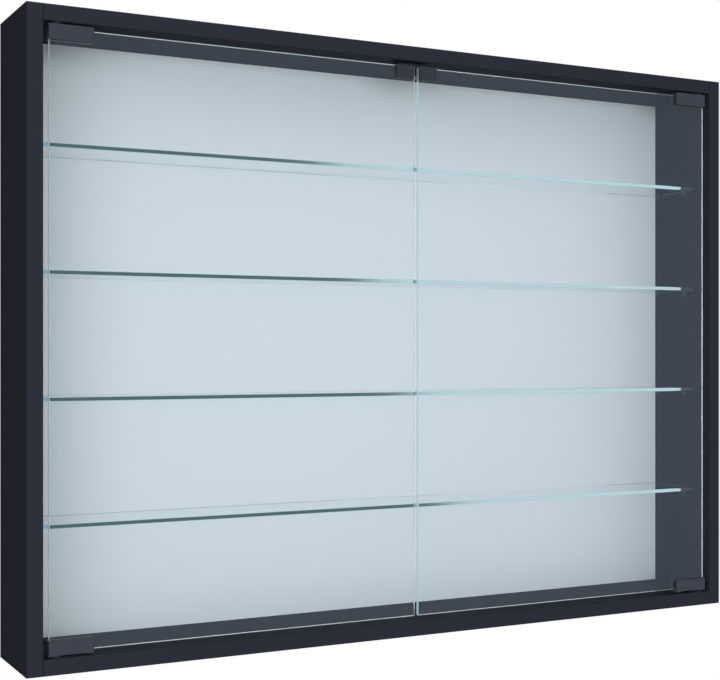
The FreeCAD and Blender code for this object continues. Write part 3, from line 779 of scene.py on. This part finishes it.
@dataclass(frozen=True)
class Screw:
    """A small wood screw with a cross recess, a turned head and a pointed thread."""

    radius: float
    head: float
    length: float
    sunk: bool
    head_height: float = 0.0016
    lip: float = 0.00012
    shank: float = 0.0012
    point: float = 0.0026
    root: float = 0.74
    pitch: float = 0.0011
    rim_steps: int = 28
    cross_reach: float = 0.56
    cross_half: float = 0.13
    cross_taper: float = 0.55
    cross_depth: float = 0.5

    def profile(self) -> list[tuple[float, float]]:
        """Draws the outline that is turned.

        Returns:
            Radius and height of each point, from the rim of the head's face to the tip.
        """
        core = self.radius * self.root
        if self.sunk:
            top = [(self.head, 0.0), (self.head, -self.lip), (self.radius, self.radius - self.head)]
        else:
            top = [
                (self.head * 0.86, 0.0),
                (self.head * 0.97, -self.head_height * 0.125),
                (self.head, -self.head_height * 0.375),
                (self.head, -self.head_height),
                (self.radius, -self.head_height),
            ]
        height = top[-1][1] - self.shank
        points = top + [(self.radius, height)]
        tip = self.point - self.length
        while height - self.pitch > tip:
            points += [
                (core, height - 0.25 * self.pitch),
                (core, height - 0.6 * self.pitch),
                (self.radius, height - 0.9 * self.pitch),
            ]
            height -= self.pitch
        return points + [(core, tip), (0.0, -self.length)]

    def add(self, work: Workpiece, seat: Vector, axis: Vector) -> None:
        """Adds the screw, with its face in one place and looking one way.

        Args:
            work: The mesh that takes it.
            seat: The middle of the head's face.
            axis: The way in which the face looks.
        """
        profile = self.profile()
        work.turned(profile, seat, axis, self.rim_steps)
        self.recess(work, seat, axis, profile[0][0])
        work.weld()

    def recess(self, work: Workpiece, seat: Vector, axis: Vector, rim: float) -> None:
        """Closes the head with a cross recess.

        Args:
            work: The mesh that takes it.
            seat: The middle of the head's face.
            axis: The way in which the face looks.
            rim: The radius of the face, in metres.
        """
        out = axis.orthogonal().normalized()
        aside = axis.cross(out)
        rounds = [math.tau * k / self.rim_steps for k in range(self.rim_steps)]
        outer = work.loop([seat + (out * math.cos(a) + aside * math.sin(a)) * rim for a in rounds])
        reach, half = rim * self.cross_reach, rim * self.cross_half
        arm = ((reach, -half), (reach, half), (half, half))
        corners = []
        for quarter in range(4):
            turn = Matrix.Rotation(quarter * math.pi / 2, 3, axis)
            corners += [seat + turn @ (out * a + aside * b) for a, b in arm]
        inner = work.loop(corners)
        bmesh.ops.triangle_fill(work.mesh, use_beauty=True, edges=outer + inner)
        drawn = bmesh.ops.extrude_edge_only(work.mesh, edges=inner)["geom"]
        floor = [part for part in drawn if isinstance(part, bmesh.types.BMVert)]
        for point in floor:
            inward = (point.co - seat) * self.cross_taper
            point.co = seat + inward - axis * self.head * self.cross_depth
        rest = [
            part
            for part in drawn
            if isinstance(part, bmesh.types.BMEdge) and all(v in floor for v in part.verts)
        ]
        bmesh.ops.contextual_create(work.mesh, geom=rest)


@dataclass(frozen=True)
class Dowel:
    """A beech dowel with pressed flutes and chamfered ends."""

    flutes: int = 18
    flute_depth: float = 0.0004
    chamfer: float = 0.0009

    def add(self, work: Workpiece, low: Vector, high: Vector) -> None:
        """Adds the dowel that fills a box along its longest side.

        Args:
            work: The mesh that takes it.
            low: The box's lowest corner.
            high: The box's highest corner.
        """
        size = high - low
        long = max(range(3), key=lambda axis: size[axis])
        axis = Vector([1.0 if k == long else 0.0 for k in range(3)])
        radius = min(size) / 2
        seat = (low + high) / 2 - axis * size[long] / 2
        out = axis.orthogonal().normalized()
        aside = axis.cross(out)
        rings = (
            (0.0, self.chamfer),
            (self.chamfer, 0.0),
            (size[long] - self.chamfer, 0.0),
            (size[long], self.chamfer),
        )
        loops = []
        for height, inset in rings:
            corners = []
            for k in range(2 * self.flutes):
                angle = math.pi * k / self.flutes
                reach = radius - inset - (self.flute_depth if k % 2 else 0.0)
                way = out * math.cos(angle) + aside * math.sin(angle)
                corners.append(seat + axis * height + way * reach)
            loops.append(work.loop(corners))
        for first, second in zip(loops, loops[1:]):
            bmesh.ops.bridge_loops(work.mesh, edges=first + second)
        for end in (loops[0], loops[-1]):
            bmesh.ops.contextual_create(work.mesh, geom=end)


# ---------------------------------------------------------------- the showcase


@dataclass
class Carcass:
    """The frame of boards, its back and the fittings that hold it together."""

    assembly: Assembly
    boards: tuple[str, ...] = ("left_side_panel", "right_side_panel", "top_panel", "bottom_panel")

    def build(self) -> None:
        """Dresses the boards and their fittings."""
        self.assembly.dress(Finishes.BOARD, *self.boards)
        self.assembly.dress(Finishes.BACK, "back_panel")
        self.assembly.dress(Finishes.NAIL, "back_panel_nails")
        self.dowels()
        self.assembly.dress(Finishes.CAM, "cam_bolts", "cam_locks")

    def dowels(self) -> None:
        """Cuts the fluted dowels that line up the corners."""
        low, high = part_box("wood_dowels")
        rods = self.assembly.nodes["wood_dowels"].data.vertices
        inner = min(point.co.x for point in rods if point.co.x > 0)
        radius = (high.y - low.y) / 2
        work = Workpiece("fluted_dowels")
        for side in (-1, 1):
            near, far = sorted((side * inner, side * high.x))
            for end in (-1, 1):
                level = end * (high.z - radius)
                Dowel().add(
                    work,
                    Vector((near, low.y, level - radius)),
                    Vector((far, high.y, level + radius)),
                )
        work.close([Finishes.DOWEL], "cabinet", "dowel_beech", "wood_dowels", False)


@dataclass
class Shelving:
    """The glass shelves on their clear supports."""

    assembly: Assembly
    count: int = 4
    arris: float = 0.0004

    def build(self) -> None:
        """Builds each sheet with its ground edges and dresses its supports."""
        for number in range(1, self.count + 1):
            glass_sheet(
                f"shelf_sheet_{number}",
                f"glass_shelf_{number}",
                "cabinet",
                Finishes.SHELF,
                Finishes.SHELF_EDGE,
                "shelf_glass",
                self.arris,
            )
            self.assembly.dress(Finishes.SUPPORT, f"shelf_{number}_supports")


@dataclass
class GlassDoor:
    """One frameless door with its two pivot hinges and its strike clip."""

    assembly: Assembly
    hand: Hand
    arris: float = 0.0004

    def build(self) -> None:
        """Builds the door's sheet and dresses its metalwork."""
        side = self.hand.value
        sheet = glass_sheet(
            f"{side}_door_sheet",
            f"{side}_door_glass",
            f"{side}_door",
            Finishes.DOOR,
            Finishes.DOOR_EDGE,
            "door_glass",
            self.arris,
        )
        sheet.visible_glossy = False
        self.assembly.dress(Finishes.CLIP, f"{side}_strike_clip")
        for level in Level:
            hinge = f"{side}_{level.value}_hinge"
            self.assembly.dress(Finishes.BUSH, f"{hinge}_bush")
            self.assembly.dress(Finishes.HINGE, f"{hinge}_clamp")
            self.assembly.dress(Finishes.PAD, f"{hinge}_pad")
            self.assembly.dress(Finishes.PLATE, f"{hinge}_pressure_plate")
            self.assembly.dress(Finishes.SCREW, f"{hinge}_screws")
            self.assembly.dress(Finishes.PIN, f"{hinge}_pin")


@dataclass
class TouchLatch:
    """The magnetic push latch under the top board."""

    assembly: Assembly
    joints: list[dict]
    screw_radius: float = 0.00125
    wire: float = 0.00022
    wire_sides: int = 8
    turns: int = 8
    steps: int = 14

    def build(self) -> None:
        """Dresses the latch and winds its springs."""
        self.assembly.dress(Finishes.LATCH, "latch_housing")
        self.screws()
        for hand in Hand:
            self.assembly.dress(Finishes.PLUNGER, f"{hand.value}_latch_plunger")
            self.assembly.dress(Finishes.MAGNET, f"{hand.value}_latch_magnet")
            self.spring(hand)

    def screws(self) -> None:
        """Turns the two screws that hold the housing."""
        low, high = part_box("latch_screws")
        head = (high.x - low.x) / 2
        screw = Screw(self.screw_radius, head, high.z - low.z, sunk=False)
        work = Workpiece("latch_screw_pair")
        for depth in (low.y + head, high.y - head):
            screw.add(work, Vector((0, depth, low.z)), Vector((0, 0, -1)))
        work.close([Finishes.SCREW], "cabinet", "screw_steel", "latch_screws", False)

    def spring(self, hand: Hand) -> None:
        """Winds one spring and gives the piece a mesh of its own.

        Args:
            hand: The side that it works on.
        """
        node = f"{hand.value}_latch_spring"
        low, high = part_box(node)
        centre = (low + high) / 2
        radius = (high.x - low.x) / 2 - self.wire
        length = high.y - low.y - 2 * self.wire
        coil = Workpiece(f"{hand.value}_latch_coil")
        start = Vector((centre.x + radius, low.y + self.wire, centre.z))
        coil.ring(start, self.wire, self.wire_sides, Vector((0, 0, 1)))
        count = self.turns * self.steps
        bmesh.ops.spin(
            coil.mesh,
            geom=coil.mesh.verts[:] + coil.mesh.edges[:] + coil.mesh.faces[:],
            cent=centre,
            axis=(0, 1, 0),
            dvec=(0, length / count, 0),
            angle=math.tau * self.turns,
            steps=count,
            use_merge=False,
        )
        piece = coil.close([Finishes.SPRING], "cabinet", "spring_steel", node, True)
        joint = next(j for j in self.joints if j["name"] == f"{hand.value}_plunger_slide")
        travel = joint["range_m"][1]
        keep = 1 - travel / (high.y - low.y)
        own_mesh(piece)
        LOG.info("%s: %d turns", piece.name, self.turns)


@dataclass
class WallHangers:
    """The keyhole plates let into the rear of the side boards."""

    assembly: Assembly
    screw_radius: float = 0.00125
    screw_head: float = 0.0025

    def build(self) -> None:
        """Dresses the plates and turns their screws."""
        for hand in Hand:
            self.assembly.dress(Finishes.HANGER, f"{hand.value}_hanger")
        low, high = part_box("hanger_screws")
        head = self.screw_head
        screw = Screw(self.screw_radius, head, high.y - low.y, sunk=True)
        work = Workpiece("hanger_screw_set")
        for across in (low.x + head, high.x - head):
            for up in (low.z + head, high.z - head):
                screw.add(work, Vector((across, high.y, up)), Vector((0, 1, 0)))
        work.close([Finishes.SCREW], "cabinet", "screw_steel", "hanger_screws", False)


# ---------------------------------------------------------------- the studio


@dataclass
class Studio:
    """The plain floor, the world, the lamp and the camera.

    The world lights the boards with level from the sides and with ahead from the front. Glass
    mirrors bright and shade on the two sides of a slanted seam, room from within a sheet and
    dusk towards the left.
    """

    floor_level: float = -1.9
    floor_radius: float = 4.2
    floor_tones: tuple[float, float] = (0.48, 0.51)
    floor_glow: float = 0.6
    lamp_place: Colour = (-1.2, -2.5, 0.2)
    lamp_size: tuple[float, float] = (2.8, 0.6)
    lamp_power: float = 33.5
    lens: float = 69.38
    rise: float = 0.0159
    stand: Colour = (-0.70795, -1.324, -0.0103)
    heading: float = 27.63
    level: float = 0.31
    ahead: float = 0.89
    front_reach: float = 0.8
    turn: float = 0.547
    tilt: float = 0.408
    seam: tuple[float, float] = (0.001, 0.013)
    room: Colour = (0.4, 0.49, 0.64)
    bright: Colour = (1.02, 1.03, 1.03)
    shade: Colour = (0.04, 0.095, 0.075)
    dusk: Colour = (0.05, 0.05, 0.05)

    def build(self) -> None:
        """Builds the studio round the showcase."""
        self.world()
        self.floor()
        self.lamp()
        self.camera()

    def world(self) -> None:
        """White where the camera looks, with one bright and one shaded side in reflections."""
        world = bpy.data.worlds.new("studio")
        bpy.context.scene.world = world
        graph = Graph(world)
        way = graph.node("ShaderNodeTexCoord", output="Generated")
        turned = graph.along(way, "X") + graph.along(way, "Y") * self.turn
        tilted = turned + graph.along(way, "Z") * self.tilt
        mirrored = graph.mix(graph.fade(tilted, *self.seam), self.shade, self.bright)
        inside = graph.light_path("Transmission Depth") > 1.5
        mirrored = graph.mix(inside, self.room, mirrored)
        right = graph.along(way, "X") > 0.0
        mirrored = graph.mix(right, self.dusk, mirrored)
        front = graph.fade(0 - graph.along(way, "Y"), 0.0, self.front_reach)
        spread = graph.mix(front, (self.level,) * 3, (self.ahead,) * 3)
        through = graph.light_path("Is Transmission Ray")
        bounced = graph.light_path("Glossy Depth") > 0.5
        reflected = graph.light_path("Is Glossy Ray").either(through * bounced)
        lit = graph.mix(reflected, spread, mirrored)
        seen = graph.light_path("Is Camera Ray").either(through * (1 - bounced))
        colour = graph.mix(seen, lit, (1.0, 1.0, 1.0))
        light = graph.node("ShaderNodeBackground", sockets={"Color": colour})
        graph.node("ShaderNodeOutputWorld", sockets={"Surface": light})

    def floor(self) -> None:
        """A pale round floor that is white to the camera and keeps the shadow."""
        shape = bmesh.new()
        bmesh.ops.create_circle(
            shape,
            cap_ends=True,
            segments=96,
            radius=self.floor_radius,
            matrix=Matrix.Translation((0, 0, self.floor_level)),
        )
        data = bpy.data.meshes.new("studio_floor")
        shape.to_mesh(data)
        shape.free()
        material = bpy.data.materials.new("pale_floor")
        graph = Graph(material)
        grain = graph.noise(60.0, 2.0)
        seen = graph.light_path("Is Camera Ray").either(graph.light_path("Is Transmission Ray"))
        seen = seen.either(graph.light_path("Is Glossy Ray"))
        dark, pale = ((share,) * 3 for share in self.floor_tones)
        graph.surface(
            graph.principled(
                {
                    "Base Color": graph.mix(grain, dark, pale),
                    "Roughness": 0.8,
                    "Specular IOR Level": 0.0,
                    "Emission Color": graph.mix(seen, (0.0,) * 3, (self.floor_glow,) * 3),
                    "Emission Strength": 1.0,
                }
            )
        )
        data.materials.append(material)
        floor = bpy.data.objects.new("studio_floor", data)
        bpy.context.scene.collection.objects.link(floor)

    def lamp(self) -> None:
        """Hangs a soft lamp that points at the showcase and shows in no reflection."""
        data = bpy.data.lights.new("front_lamp", "AREA")
        data.shape = "RECTANGLE"
        data.size, data.size_y = self.lamp_size
        data.energy = self.lamp_power
        lamp = bpy.data.objects.new("front_lamp", data)
        lamp.location = self.lamp_place
        lamp.rotation_euler = (-Vector(self.lamp_place)).to_track_quat("-Z", "Y").to_euler()
        lamp.visible_camera = False
        lamp.visible_glossy = False
        lamp.visible_transmission = False
        bpy.context.scene.collection.objects.link(lamp)

    def camera(self) -> None:
        """Sets the camera level, to the left of the showcase."""
        data = bpy.data.cameras.new("camera")
        data.lens = self.lens
        data.shift_y = self.rise
        camera = bpy.data.objects.new("camera", data)
        camera.location = self.stand
        camera.rotation_euler = (math.radians(90), 0, -math.radians(self.heading))
        bpy.context.scene.collection.objects.link(camera)
        bpy.context.scene.camera = camera


def main() -> None:
    """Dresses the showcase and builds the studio."""
    logging.basicConfig(level=logging.INFO, format="%(name)s: %(message)s")
    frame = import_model()
    assembly = Assembly(frame["nodes"])
    Carcass(assembly).build()
    Shelving(assembly).build()
    for hand in Hand:
        GlassDoor(assembly, hand).build()
    TouchLatch(assembly, frame["joints"]).build()
    WallHangers(assembly).build()
    Studio().build()
    bpy.context.scene.view_settings.view_transform = "Standard"


if __name__ == "__main__":
    main()
